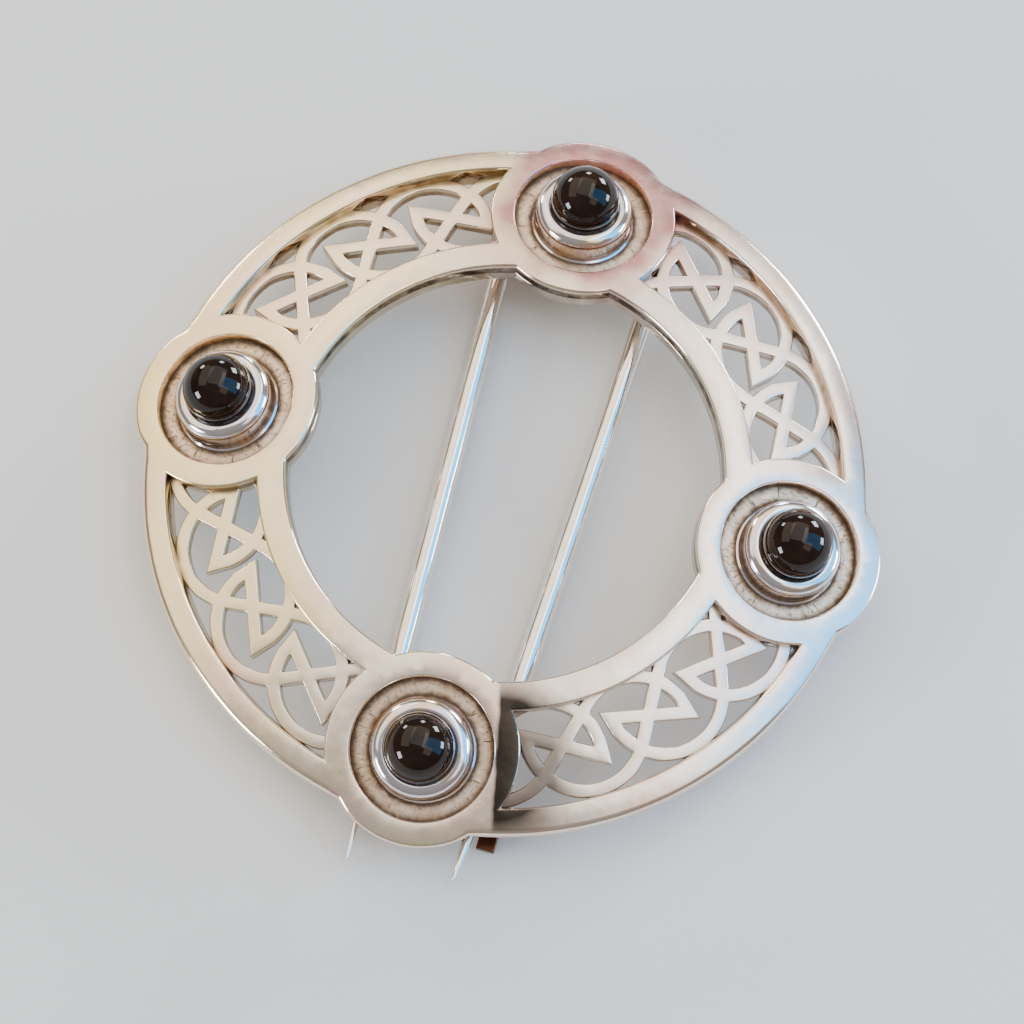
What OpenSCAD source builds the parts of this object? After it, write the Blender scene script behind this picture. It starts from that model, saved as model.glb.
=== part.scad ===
// Annular brooch in silver: a domed openwork ring with four round settings,
// four panels of interlaced knotwork and a hinged double pin at the back.
// Millimetres. The underside rests on z = 0, and the ring's axis is the z axis.

/* [Ring] */
// Radius of the ring's outer edge
ring_r = 32; // [31.6:0.1:32.6]
// Radius of the hole in the middle
hole_r = 19.1; // [18.8:0.1:19.4]
// Radius of the inner edge of the knotwork windows
window_in_r = 21.6; // [21.4:0.1:21.8]
// Radius of the outer edge of the knotwork windows
window_out_r = 29.6; // [29.4:0.1:29.8]
// Radius of the sphere that the ring's face follows
dome_r = 125; // [120:1:135]
// Thickness of the ring at its rims
ring_t = 2.3; // [2.2:0.1:2.5]
// Depth of the knotwork and of the floors of the settings below the face
sunk = 1.15; // [1.0:0.05:1.2]

/* [Settings] */
// Distance of each round setting from the ring's axis
setting_d = 25.65; // [25.5:0.05:25.8]
// Outer radius of a round setting
setting_r = 8.35; // [8.2:0.05:8.5]
// Radius of the sunk floor in a setting
floor_r = 6.15; // [6.0:0.05:6.3]
// Radius of the collar's foot
collar_r = 4.3; // [4.2:0.05:4.4]
// Radius of the collar's rounded edge
collar_edge = 0.95; // [0.9:0.05:1.0]
// Height of the collar's crest above the sunk floor
collar_h = 2.7; // [2.5:0.1:2.8]
// Radius of a stone
stone_r = 3.03; // [2.98:0.01:3.05]
// Height of the middle of a stone above the sunk floor
stone_h = 3.4; // [3.3:0.1:3.6]

/* [Knotwork] */
// Width of a strand
strand_w = 1.15; // [1.0:0.05:1.3]
// Thickness of the knotwork
strand_t = 1.05; // [0.9:0.05:1.1]
// Distance of the crossings in the middle of the band from the axis
cross_r = 25.2; // [25.1:0.05:25.3]
// Lean of the strands that run across the band, from the radius
across_lean = 41.3; // [40:0.1:43]
// Lean of the strands that run along the band, from the radius
along_lean = 66; // [65:0.1:67]
// Shift of the knotwork layer towards the north setting
knot_shift = 0.35; // [0.2:0.05:0.4]

/* [Pin] */
// Diameter of a stem
stem_d = 1.9; // [1.7:0.05:2.0]
// Half the distance between the stems at the hinge
stem_x_hinge = 7.1; // [7.0:0.05:7.2]
// Half the distance between the points
stem_x_tip = 4.6; // [4.5:0.05:4.8]
// Sideways place of the double pin behind the ring
pin_x = 0.7; // [0.4:0.1:0.9]
// Diameter of a stem where it leaves the ring at the catch
catch_stem_d = 0.85; // [0.8:0.01:0.9]
// Diameter of a point
tip_d = 0.35; // [0.3:0.05:0.5]
// How much shorter the east stem is than the west one
east_short = 0.7; // [0:0.1:1]
// Diameter of the cross rod that joins the stems
rod_d = 2.1; // [2.0:0.05:2.2]
// Radial play of the cross rod in its ears
rod_play = 0.04; // [0.03:0.01:0.06]

/* [Hidden] */
silver = "#d8d0c6";
dark_brown = "#1a0d0f";

// Heights: the ears of the hinge and the feet of the catch stand on z = 0
ear_r = 1.75;
rod_z = ear_r;
edge_gap = 0.4;
setting_tilt = asin(setting_d / dome_r);
setting_reach = setting_tilt + asin(setting_r / dome_r);
// Drop of the setting's lowest edge below the top of the dome
edge_drop = dome_r - (dome_r - ring_t) * cos(setting_reach);
apex_z = rod_z + catch_stem_d / 2 + edge_gap + edge_drop;
dome_z = apex_z - dome_r;
// Height of the ring's underside at a distance from the axis
function under_z(r) = dome_z + sqrt(pow(dome_r - ring_t, 2) - r * r);

// A setting's floor is flat: its drop below the dome's top at the setting
floor_drop = sunk + dome_r - sqrt(dome_r * dome_r - floor_r * floor_r);
stone_gap = 0.05;
stone_base = 0.8;
// The collar's root below the floor, and the flare of its foot
root_d = 0.3;
flare_r = 0.15;
flare_edge = 0.05;
flare_h = 0.35;

// Knotwork, drawn flat on the tangent plane in the middle of a panel: each
// strand crosses the band straight, then bends on into a half loop at each end
UNITS = 3;
cross_tilt = asin(cross_r / dome_r);
band_r = (dome_r - sunk) * tan(cross_tilt);
unit_step = 17.6;
// Length from the crossing to the loop, and radius of the loop's middle line
outer_run = 2.55;
outer_loop_r = 5.05;
inner_run = 4.1;
inner_loop_r = 4.9;
// Depth by which the strands enter the rims, and the settings' rims
strand_in = 0.6;
// Half the length from which a diagonal is trimmed, and what a corner cuts off
diagonal_l = 8;
corner_l = 9;
corner_w = 5;

// Hinge: the cross rod turns in two ears, and a knuckle ends it at each stem
rod_y = 26;
knuckle_r = 1.2;
knuckle_w = 2.1;
ear_x = 4.9;
ear_t = 1.6;
ear_w = 2.6;
ear_meets_r = 25.2;
ear_in = 0.2;
ear_top = under_z(ear_meets_r) + ear_in;
// Stems: straight to taper_y, then tapered to point_y and to the tip
taper_y = -14.5;
point_y = -32;
tip_y = -35.55;
tip_cone = 0.12;
// Catch: east of each stem a leg, with a foot that turns in to the stem's side
catch_y = -27.4;
leg_l = 2.6;
leg_t = 0.8;
foot_l = 3.9;
foot_w = 1.6;
foot_t = 0.8;
foot_play = 0.12;
leg_meets_r = 28.2;
leg_in = 0.35;
leg_top = under_z(leg_meets_r) + leg_in;

// How far trimming solids run below and above the dome's face
BELOW = 12;
ABOVE = 4;
// Side of the square that trims a drawing to the half beyond its y axis
HALF = 9;
FINE = 180;
ROUND = 96;
SMALL = 48;

// Moves its children to the dome's centre, turned so that +z leaves along the
// radius of the dome at an angle from the axis
module on_dome(turn, tilt) {
    translate([0, 0, dome_z])
        rotate([0, 0, turn])
            rotate([0, tilt, 0])
                children();
}

// Part of the dome's wall between two depths below its face
module dome_wall(from, to) {
    translate([0, 0, dome_z])
        difference() {
            sphere(r = dome_r - from, $fn = 2 * FINE);
            sphere(r = dome_r - to, $fn = 2 * FINE);
        }
}

// Cone about the ring's axis whose wall stands square to the dome at radius r
module square_cone(r) {
    low = dome_r - BELOW;
    high = dome_r + ABOVE;
    slope = tan(asin(r / dome_r));
    translate([0, 0, dome_z + low])
        cylinder(h = high - low, r1 = low * slope, r2 = high * slope, $fn = FINE);
}

// Tube between two such cones
module square_tube(r_out, r_in) {
    difference() {
        square_cone(r_out);
        square_cone(r_in);
    }
}

// Cylinder that stands square to the dome at a setting
module setting_post(turn, r) {
    on_dome(turn, setting_tilt)
        translate([0, 0, dome_r - BELOW])
            cylinder(h = BELOW + ABOVE, r = r, $fn = ROUND);
}

// The half of a drawing that a turned solid doesn't use
module unused_half() {
    translate([-HALF, -HALF])
        square([HALF, 2 * HALF]);
}

// Places its children at the crossing of unit k, x outwards
module at_crossing(k) {
    rotate(-k * unit_step)
        translate([band_r, 0])
            children();
}

// Disc whose edge is the outer edge of a loop
module loop_disc(run, r, extra) {
    translate([run, -r])
        circle(r = r + extra, $fn = ROUND);
}

// Half loop that carries on a strand which runs along x
module half_loop(run, r) {
    side = r + strand_w;
    intersection() {
        difference() {
            loop_disc(run, r, strand_w / 2);
            loop_disc(run, r, -strand_w / 2);
        }
        translate([run, -r - side])
            square([side, 2 * side]);
    }
}

// What a loop loses behind the sharp corner that it makes with a diagonal
module behind_corner() {
    translate([-corner_l, strand_w / 2])
        square([corner_l, corner_w]);
}

// Strand across the band at crossing k, with its two half loops
module crossing_strand(k) {
    difference() {
        at_crossing(k)
            rotate(-across_lean) {
                translate([-inner_run, -strand_w / 2])
                    square([inner_run + outer_run, strand_w]);
                half_loop(outer_run, outer_loop_r);
                rotate(180)
                    half_loop(inner_run, inner_loop_r);
            }
        at_crossing(k + 1)
            rotate(along_lean)
                behind_corner();
        at_crossing(k - 1)
            rotate(along_lean + 180)
                behind_corner();
    }
}

// Diagonal along the band through crossing k, up to the loops at both its ends
module diagonal(k) {
    intersection() {
        at_crossing(k)
            rotate(along_lean)
                translate([-diagonal_l, -strand_w / 2])
                    square([2 * diagonal_l, strand_w]);
        at_crossing(k - 1)
            rotate(-across_lean)
                loop_disc(outer_run, outer_loop_r, strand_w / 2);
        at_crossing(k + 1)
            rotate(180 - across_lean)
                loop_disc(inner_run, inner_loop_r, strand_w / 2);
    }
}

// Knotwork of one panel, from the drawing
module knot_panel(turn) {
    last = (UNITS - 1) / 2;
    difference() {
        intersection() {
            translate([0, knot_shift, 0])
                on_dome(turn, cross_tilt)
                    translate([-band_r, 0, dome_r - BELOW])
                        linear_extrude(height = BELOW + ABOVE) {
                            for (k = [-last - 1 : last + 1])
                                crossing_strand(k);
                            for (k = [-last : last])
                                diagonal(k);
                        }
            square_tube(window_out_r + strand_in, window_in_r - strand_in);
            dome_wall(sunk, sunk + strand_t);
        }
        for (side = [-45, 45])
            setting_post(turn + side, setting_r - strand_in);
    }
}

// Domed plate with its windows, sunk floors and hole
module plate() {
    difference() {
        intersection() {
            union() {
                square_tube(ring_r, window_out_r);
                square_tube(window_in_r, hole_r);
                for (i = [0 : 3])
                    setting_post(90 * i, setting_r);
            }
            dome_wall(0, ring_t);
        }
        for (i = [0 : 3])
            on_dome(90 * i, setting_tilt)
                translate([0, 0, dome_r - floor_drop])
                    cylinder(h = ABOVE, r = floor_r, $fn = ROUND);
    }
}

// Collar that holds a stone, with a rounded crest and a flared foot
module collar(turn) {
    edge_x = collar_r - collar_edge;
    edge_z = collar_h - collar_edge;
    on_dome(turn, setting_tilt)
        translate([0, 0, dome_r - floor_drop])
            difference() {
                rotate_extrude($fn = ROUND)
                    difference() {
                        union() {
                            translate([0, -root_d])
                                square([collar_r, root_d + edge_z]);
                            translate([edge_x, edge_z])
                                circle(r = collar_edge, $fn = ROUND);
                            polygon([
                                [0, -root_d],
                                [collar_r + flare_r, -root_d],
                                [collar_r + flare_r, flare_edge],
                                [collar_r - flare_edge, flare_h],
                                [0, flare_h]
                            ]);
                        }
                        unused_half();
                    }
                stone_room(stone_gap);
            }
}

// Ball with a flat base: the stone itself, or the room for it with a gap
module stone_room(gap) {
    rotate_extrude($fn = ROUND)
        difference() {
            translate([0, stone_h])
                circle(r = stone_r + gap, $fn = ROUND);
            unused_half();
            translate([-HALF, -HALF])
                square([2 * HALF, HALF + stone_base - gap]);
        }
}

// Ear of the hinge, on one side of the pin's middle line
module ear(side) {
    difference() {
        union() {
            translate([pin_x + side * ear_x - ear_t / 2, rod_y, rod_z])
                rotate([0, 90, 0])
                    cylinder(h = ear_t, r = ear_r, $fn = SMALL);
            translate([pin_x + side * ear_x - ear_t / 2, rod_y - ear_w / 2, rod_z])
                cube([ear_t, ear_w, ear_top - rod_z]);
        }
        translate([pin_x + side * ear_x - ear_t, rod_y, rod_z])
            rotate([0, 90, 0])
                cylinder(h = 2 * ear_t, r = rod_d / 2 + rod_play, $fn = SMALL);
    }
}

// Half the distance between the stems' middle lines, and a stem's radius
function stem_x(y) = stem_x_tip + (stem_x_hinge - stem_x_tip) * (y - tip_y) / (rod_y - tip_y);
function stem_r(y) = (stem_d + (catch_stem_d - stem_d) * (taper_y - y) / (taper_y - point_y)) / 2;

// Leg of the catch beside one stem, with its foot
module catch_leg(side) {
    foot_x = pin_x + side * stem_x(catch_y) + stem_r(catch_y) + foot_play;
    translate([foot_x + foot_w - leg_t, catch_y - leg_l, 0])
        cube([leg_t, leg_l, leg_top]);
    translate([foot_x, catch_y - foot_l, 0])
        cube([foot_w, foot_l, foot_t]);
}

module frame() {
    color(silver) {
        plate();
        for (i = [0 : 3]) {
            knot_panel(45 + 90 * i);
            collar(90 * i);
        }
        for (side = [-1, 1]) {
            ear(side);
            catch_leg(side);
        }
    }
}

// High round cabochon
module stone(turn) {
    color(dark_brown)
        on_dome(turn, setting_tilt)
            translate([0, 0, dome_r - floor_drop])
                stone_room(0);
}

// Tapered stem, from the cross rod to its point
module stem(side) {
    lean = side * atan((stem_x_hinge - stem_x_tip) / (rod_y - tip_y));
    length = rod_y - tip_y - (side > 0 ? east_short : 0);
    translate([pin_x + side * stem_x_hinge, rod_y, rod_z])
        rotate([0, 0, -lean])
            rotate([90, 0, 0])
                rotate_extrude($fn = SMALL)
                    polygon([
                        [0, 0],
                        [stem_d / 2, 0],
                        [stem_d / 2, rod_y - taper_y],
                        [catch_stem_d / 2, rod_y - point_y],
                        [tip_d / 2, length],
                        [0, length + tip_cone]
                    ]);
}

// Two stems on one cross rod
module double_pin() {
    color(silver) {
        translate([pin_x - stem_x_hinge, rod_y, rod_z])
            rotate([0, 90, 0])
                cylinder(h = 2 * stem_x_hinge, r = rod_d / 2, $fn = SMALL);
        for (side = [-1, 1]) {
            translate([pin_x + side * stem_x_hinge - knuckle_w / 2, rod_y, rod_z])
                rotate([0, 90, 0])
                    cylinder(h = knuckle_w, r = knuckle_r, $fn = SMALL);
            stem(side);
        }
    }
}

frame();
stone(0);  // stone_east
stone(90);  // stone_north
stone(180);  // stone_west
stone(270);  // stone_south
double_pin();
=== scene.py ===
import cmath
from collections import namedtuple
from math import acos, asin, atan, atan2, cos, degrees, hypot, pi, radians, sin, sqrt, tan

import bpy
from mathutils import Matrix, Vector
from mathutils import noise as hand_noise
from mathutils.geometry import delaunay_2d_cdt
from mathutils.kdtree import KDTree


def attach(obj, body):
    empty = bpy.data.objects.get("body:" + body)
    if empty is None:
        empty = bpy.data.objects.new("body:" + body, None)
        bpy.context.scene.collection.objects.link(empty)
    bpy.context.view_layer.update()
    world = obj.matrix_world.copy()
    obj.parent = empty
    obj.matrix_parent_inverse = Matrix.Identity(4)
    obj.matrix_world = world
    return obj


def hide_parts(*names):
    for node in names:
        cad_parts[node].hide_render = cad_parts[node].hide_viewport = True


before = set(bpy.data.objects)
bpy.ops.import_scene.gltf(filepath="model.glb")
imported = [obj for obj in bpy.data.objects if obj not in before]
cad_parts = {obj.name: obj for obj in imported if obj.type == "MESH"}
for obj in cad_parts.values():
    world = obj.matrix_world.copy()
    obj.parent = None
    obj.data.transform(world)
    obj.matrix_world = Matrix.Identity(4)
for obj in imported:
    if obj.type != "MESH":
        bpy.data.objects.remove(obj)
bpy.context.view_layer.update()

# Driving sizes of the brooch, in millimetres
MM = 0.001
QUARTER = radians(90)
RING_R = 32.0
HOLE_R = 19.1
WINDOW_IN_R = 21.6
WINDOW_OUT_R = 29.6
DOME_R = 125.0
RING_T = 2.3
SUNK = 1.15
SETTING_D = 25.65
SETTING_R = 8.35
FLOOR_R = 6.15
COLLAR_R = 4.3
COLLAR_EDGE = 0.95
COLLAR_H = 2.7
STONE_R = 3.03
STONE_H = 3.4
STONE_BASE = 0.8
STONE_GAP = 0.05
STRAND_W = 1.15
STRAND_T = 1.05
CROSS_R = 25.2
ACROSS_LEAN = radians(41.3)
ALONG_LEAN = radians(66)
KNOT_SHIFT = 0.35
UNIT_STEP = radians(17.6)
OUTER_RUN = 2.55
OUTER_LOOP_R = 5.05
INNER_RUN = 4.1
INNER_LOOP_R = 4.9
STEM_D = 1.9
STEM_X_HINGE = 7.1
STEM_X_TIP = 4.6
PIN_X = 0.7
CATCH_STEM_D = 0.85
TIP_D = 0.35
EAST_SHORT = 0.7
ROD_D = 2.1
ROD_PLAY = 0.04
ROD_Y = 26.0
KNUCKLE_R = 1.2
KNUCKLE_W = 2.1
EAR_R = 1.75
EAR_X = 4.9
EAR_T = 1.6
EAR_W = 2.6
TAPER_Y = -14.5
POINT_Y = -32.0
TIP_Y = -35.55
CATCH_Y = -27.4
LEG_L = 2.6
LEG_T = 0.8
FOOT_L = 3.9
FOOT_W = 1.6
FOOT_T = 0.8
FOOT_PLAY = 0.12
EDGE_GAP = 0.4

# Heights that follow from them
ROD_Z = EAR_R
SETTING_TILT = asin(SETTING_D / DOME_R)
SETTING_REACH = SETTING_TILT + asin(SETTING_R / DOME_R)
EDGE_DROP = DOME_R - (DOME_R - RING_T) * cos(SETTING_REACH)
APEX_Z = ROD_Z + CATCH_STEM_D / 2 + EDGE_GAP + EDGE_DROP
DOME_Z = APEX_Z - DOME_R
DOME_MIDDLE = Vector((0, 0, DOME_Z))
FLOOR_DROP = SUNK + DOME_R - sqrt(DOME_R ** 2 - FLOOR_R ** 2)
CROSS_TILT = asin(CROSS_R / DOME_R)
BAND_R = (DOME_R - SUNK) * tan(CROSS_TILT)

# Soft edges, and the seam between the two layers of the sheet
RIM_EDGE = 0.85
SETTING_EDGE = 0.42
WINDOW_EDGE = 0.26
HOLE_EDGE = 0.32
POCKET_EDGE = 0.2
POCKET_FILLET = 0.12
STRAND_EDGE = 0.15
STRAND_LOW_EDGE = 0.06
LOW_EDGE = 0.15
EAR_EDGE = 0.12
LEG_EDGE = 0.1
FOOT_EDGE = 0.12
KNUCKLE_EDGE = 0.25
ROD_EDGE = 0.1
SEAM_DEPTH = 1.17
SEAM_W = 0.1
SEAM_IN = 0.04

# Small sizes of the knot, the hinge, the catch, the collars and the stems
LOOP_STRAIGHT = 1.35
STRAND_UNEVEN = 0.05
STRAND_CLEAR = 0.9
EAR_BITE = 0.2
LEG_TOP_R = 28.2
LEG_BITE = 0.35
LEG_LIFT = 0.2
LEG_HAIR = 0.004
LIP_ANGLE = 158
TIP_ANGLE = 15
STEM_START = 1
BOWL_CLEAR = 0.06
UNEVEN_SCALE = 0.7

# Skirt and flared foot of a collar: past its radius, and above the sunk floor
COLLAR_SKIRT = ((-0.02, 0.6), (0.02, 0.32), (0.1, 0.14), (0.26, 0.04), (0.3, -0.06))
COLLAR_STRAIGHT = 0.5
COLLAR_SUNK = 0.1

# Fineness of the meshes: spacing of points, rows and sides of the turned parts
FLOOR_RINGS = [r / 4 for r in range(23, 7, -1)]
ARC_STEP = 0.3
LOOP_STEP = 0.32
CAP_STEP = 0.8
KNOT_STEP = 0.6
SLAB_STEP = 0.7
GRID_ROW = 0.866
GRID_CLEAR = 0.6
POINTS_APART = 0.05
CAP_MERGE = 1e-6
KNOT_MERGE = 1e-3
STRAIGHT_ROWS = 8
WALL_MITRE = 0.4
STRAND_MITRE = 0.3
EDGE_ROUNDS = 5
POCKET_ROUNDS = 4
LOW_ROUNDS = 2
STEM_ROWS = 24
POINT_ROWS = 8
TIP_ROWS = 5
ROD_ROWS = 6
ROD_ROUNDS = 3
EAR_ROWS = 48
LIP_ROWS = 22
BOWL_ROWS = 8
STONE_ROWS = 48
COLLAR_SIDES = 128
STONE_SIDES = 96
ROD_SIDES = 64
STEM_SIDES = 48
CREASE_FRAME = 32
CREASE_ROUND = 40

# Numbers of the materials, in the body and in a piece that has only one
SILVER, FLOOR, KNOT, COLLAR, CATCH = range(5)
ONLY = 0


class Shape:
    """Vertices in millimetres, with faces and a material number for each face."""

    def __init__(self):
        self.verts = []
        self.faces = []
        self.mats = []

    def add(self, points):
        first = len(self.verts)
        self.verts.extend(points)
        return list(range(first, len(self.verts)))

    def face(self, corners, mat):
        self.faces.append(corners)
        self.mats.append(mat)

    def band(self, ring_a, ring_b, mat):
        for i in range(len(ring_a)):
            j = (i + 1) % len(ring_a)
            self.face((ring_a[i], ring_b[i], ring_b[j], ring_a[j]), mat)

    def build(self, name, materials):
        mesh = bpy.data.meshes.new(name)
        mesh.from_pydata([Vector(v) * MM for v in self.verts], [], self.faces)
        for material in materials:
            mesh.materials.append(material)
        mesh.polygons.foreach_set("material_index", self.mats)
        mesh.validate()
        mesh.update()
        piece = bpy.data.objects.new(name, mesh)
        bpy.context.scene.collection.objects.link(piece)
        return piece


def on_dome(u, v, depth):
    """Point below the face of the dome, from its place on the flattened dome."""
    reach = hypot(u, v) / DOME_R
    turn = atan2(v, u)
    r = DOME_R - depth
    flat = r * sin(reach)
    return Vector((flat * cos(turn), flat * sin(turn), DOME_Z + r * cos(reach)))


def to_flat(point):
    """Place of a point on the flattened dome."""
    ray = Vector(point) - DOME_MIDDLE
    reach = DOME_R * acos(ray.z / ray.length)
    turn = atan2(ray.y, ray.x)
    return reach * cos(turn), reach * sin(turn)


def square_to_dome(turn, tilt):
    """Frame on the face of the dome whose z axis stands square to it."""
    return (
        Matrix.Translation(DOME_MIDDLE)
        @ Matrix.Rotation(turn, 4, "Z")
        @ Matrix.Rotation(tilt, 4, "Y")
        @ Matrix.Translation((0, 0, DOME_R))
    )


SETTINGS = [square_to_dome(radians(90 * i), SETTING_TILT) for i in range(4)]


def ring_round(at, r, height, count, way=1):
    """Ring of points about the z axis of a frame, which runs clockwise if way is -1."""
    turns = [way * 2 * pi * i / count for i in range(count)]
    return [at @ Vector((r * cos(t), r * sin(t), height)) for t in turns]


def steps(length, step):
    return max(2, round(length / step))


def turns_along(r, start, end):
    """Angles of the points of an arc, without its last one."""
    count = steps(abs(end - start) * r, ARC_STEP)
    return [start + (end - start) * i / count for i in range(count)]


def arc_on_axis(r, start, end):
    """Arc about the ring's axis, without its last point, on the flattened dome."""
    reach = DOME_R * asin(r / DOME_R)
    return [(reach * cos(t), reach * sin(t)) for t in turns_along(r, start, end)]


def face_drop(r):
    """Drop of the dome's face at a distance from the axis of a setting."""
    return sqrt(DOME_R ** 2 - r ** 2) - DOME_R


def arc_on_setting(index, r, start, end):
    """Arc about a setting's axis, without its last point, on the flattened dome."""
    drop = face_drop(r)
    points = [Vector((r * cos(t), r * sin(t), drop)) for t in turns_along(r, start, end)]
    return [to_flat(SETTINGS[index % 4] @ p) for p in points]


def meeting(r):
    """Where the circle r about the ring's axis meets the edge of a setting: the
    azimuth from the setting's middle, and the angle about the setting's axis."""
    reach = asin(r / DOME_R)
    edge = asin(SETTING_R / DOME_R)
    cosine = (cos(edge) - cos(reach) * cos(SETTING_TILT)) / (
        sin(reach) * sin(SETTING_TILT)
    )
    azimuth = acos(cosine)
    flat = DOME_R * reach
    point = on_dome(flat * cos(azimuth), flat * sin(azimuth), 0)
    local = SETTINGS[0].inverted() @ point
    return azimuth, atan2(local.y, local.x)


def outer_outline():
    azimuth, beta = meeting(RING_R)
    points, edges = [], []
    for i in range(4):
        middle = radians(90 * i)
        setting = arc_on_setting(i, SETTING_R, -beta, beta)
        rim = arc_on_axis(RING_R, middle + azimuth, middle + QUARTER - azimuth)
        points += setting + rim
        edges += [SETTING_EDGE] * len(setting) + [RIM_EDGE] * len(rim)
    return points, blurred(edges)


def blurred(values, reach=4):
    """Running mean round a closed list, so that one edge runs on into the next."""
    count = len(values)
    span = range(-reach, reach + 1)
    return [sum(values[(i + k) % count] for k in span) / len(span) for i in range(count)]


def hole_outline():
    azimuth, beta = meeting(HOLE_R)
    points = []
    for i in range(4):
        middle = radians(90 * i)
        points += arc_on_axis(HOLE_R, middle + azimuth, middle + QUARTER - azimuth)
        points += arc_on_setting(i + 1, SETTING_R, -beta, beta - 2 * pi)
    return points[::-1]


def window_outline(i):
    out_azimuth, out_beta = meeting(WINDOW_OUT_R)
    in_azimuth, in_beta = meeting(WINDOW_IN_R)
    start = radians(90 * i)
    end = start + QUARTER
    points = arc_on_axis(WINDOW_OUT_R, start + out_azimuth, end - out_azimuth)
    points += arc_on_setting(i + 1, SETTING_R, -out_beta, -in_beta)
    points += arc_on_axis(WINDOW_IN_R, end - in_azimuth, start + in_azimuth)
    points += arc_on_setting(i, SETTING_R, in_beta, out_beta)
    return points[::-1]


def mitre(before, after, limit):
    """Way to the left at a bend that keeps the same distance from both its sides."""
    normal_a = 1j * before / abs(before)
    normal_b = 1j * after / abs(after)
    scale = 1 + (normal_a * normal_b.conjugate()).real
    return (normal_a + normal_b) / max(scale, limit)


def inset(points, amounts):
    """Moves each point of a closed outline into the metal, which lies on its left."""
    moved = []
    count = len(points)
    for i, (point, amount) in enumerate(zip(points, amounts)):
        here = complex(*point)
        before = here - complex(*points[i - 1])
        after = complex(*points[(i + 1) % count]) - here
        place = here + mitre(before, after, WALL_MITRE) * amount
        moved.append((place.real, place.imag))
    return moved


def quarter_round(count):
    """Points of a soft edge from the face down: shares of its radius inwards and down."""
    turns = [QUARTER * k / count for k in range(count, -1, -1)]
    return [(1 - cos(t), 1 - sin(t)) for t in turns]


def section(low_edge, depth, seam):
    """Cross-section of a wall from the face down, as pairs of inset and depth,
    each a pair of factors: of the soft edge at that point, and a fixed length."""
    rows = [((inward, 0), (down, 0)) for inward, down in quarter_round(EDGE_ROUNDS)]
    if seam:
        rows.append(((0, 0), (0, seam - SEAM_W / 2)))
        rows.append(((0, SEAM_IN), (0, seam)))
        rows.append(((0, 0), (0, seam + SEAM_W / 2)))
    for inward, up in quarter_round(LOW_ROUNDS)[::-1]:
        rows.append(((0, low_edge * inward), (0, depth - low_edge * up)))
    return rows


def wall(shape, points, edges, place, depth, low_edge, mat, seam=0):
    """Wall of a slab along one outline. Returns its top and bottom rings."""
    rings = []
    flats = []
    for (in_f, in_c), (down_f, down_c) in section(low_edge, depth, seam):
        amounts = [e * in_f + in_c for e in edges]
        depths = [e * down_f + down_c for e in edges]
        flat = inset(points, amounts)
        flats.append(flat)
        rings.append(shape.add([place(u, v, d) for (u, v), d in zip(flat, depths)]))
    for upper, lower in zip(rings, rings[1:]):
        shape.band(upper, lower, mat)
    return (rings[0], flats[0]), (rings[-1], flats[-1])


def walls(shape, outlines, *sizes):
    """Walls along several outlines. Returns all their top rings and bottom rings."""
    rings = [wall(shape, points, edges, *sizes) for points, edges in outlines]
    return [top for top, _ in rings], [bottom for _, bottom in rings]


def with_edge(points, edge):
    return points, [edge] * len(points)


def cap(shape, loops, place, depth, step, mat, upwards):
    """Fills a face of a slab between its loops, with a grid of points inside."""
    ids, flat, edges = [], [], []
    for ring, points in loops:
        first = len(flat)
        ids += ring
        flat += points
        edges += [(first + i, first + (i + 1) % len(ring)) for i in range(len(ring))]
    tree = KDTree(len(flat))
    for i, (u, v) in enumerate(flat):
        tree.insert((u, v, 0), i)
    tree.balance()
    low = [min(p[a] for p in flat) for a in (0, 1)]
    high = [max(p[a] for p in flat) for a in (0, 1)]
    rows = int((high[1] - low[1]) / (step * GRID_ROW))
    columns = int((high[0] - low[0]) / step)
    for row in range(rows + 1):
        for column in range(columns + 1):
            u = low[0] + (column + 0.5 * (row % 2)) * step
            v = low[1] + row * step * GRID_ROW
            if tree.find((u, v, 0))[2] > step * GRID_CLEAR:
                flat.append((u, v))
    result = delaunay_2d_cdt([Vector(p) for p in flat], edges, [], 0, CAP_MERGE)
    points, triangles, origins = result[0], result[2], result[3]
    known = {}
    for triangle in metal_side(triangles, origins, set(edges)):
        corners = []
        for corner in triangle:
            source = origins[corner][0] if origins[corner] else -1
            if 0 <= source < len(ids):
                corners.append(ids[source])
                continue
            if corner not in known:
                u, v = points[corner]
                known[corner] = shape.add([place(u, v, depth)])[0]
            corners.append(known[corner])
        shape.face(tuple(corners if upwards else corners[::-1]), mat)


def metal_side(triangles, origins, edges):
    """Triangles on the left of the outlines' edges, and all those joined to them."""
    owner = {}
    for number, triangle in enumerate(triangles):
        sources = [origins[c][0] if origins[c] else -c - 1 for c in triangle]
        for i in range(3):
            owner[sources[i], sources[(i + 1) % 3]] = number
    sides = {}
    for side, number in owner.items():
        sides.setdefault(number, []).append(side)
    waiting = [owner[edge] for edge in edges if edge in owner]
    inside = set(waiting)
    while waiting:
        for a, b in sides[waiting.pop()]:
            other = owner.get((b, a))
            if other is None or other in inside or (a, b) in edges or (b, a) in edges:
                continue
            inside.add(other)
            waiting.append(other)
    return [triangles[number] for number in sorted(inside)]


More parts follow.
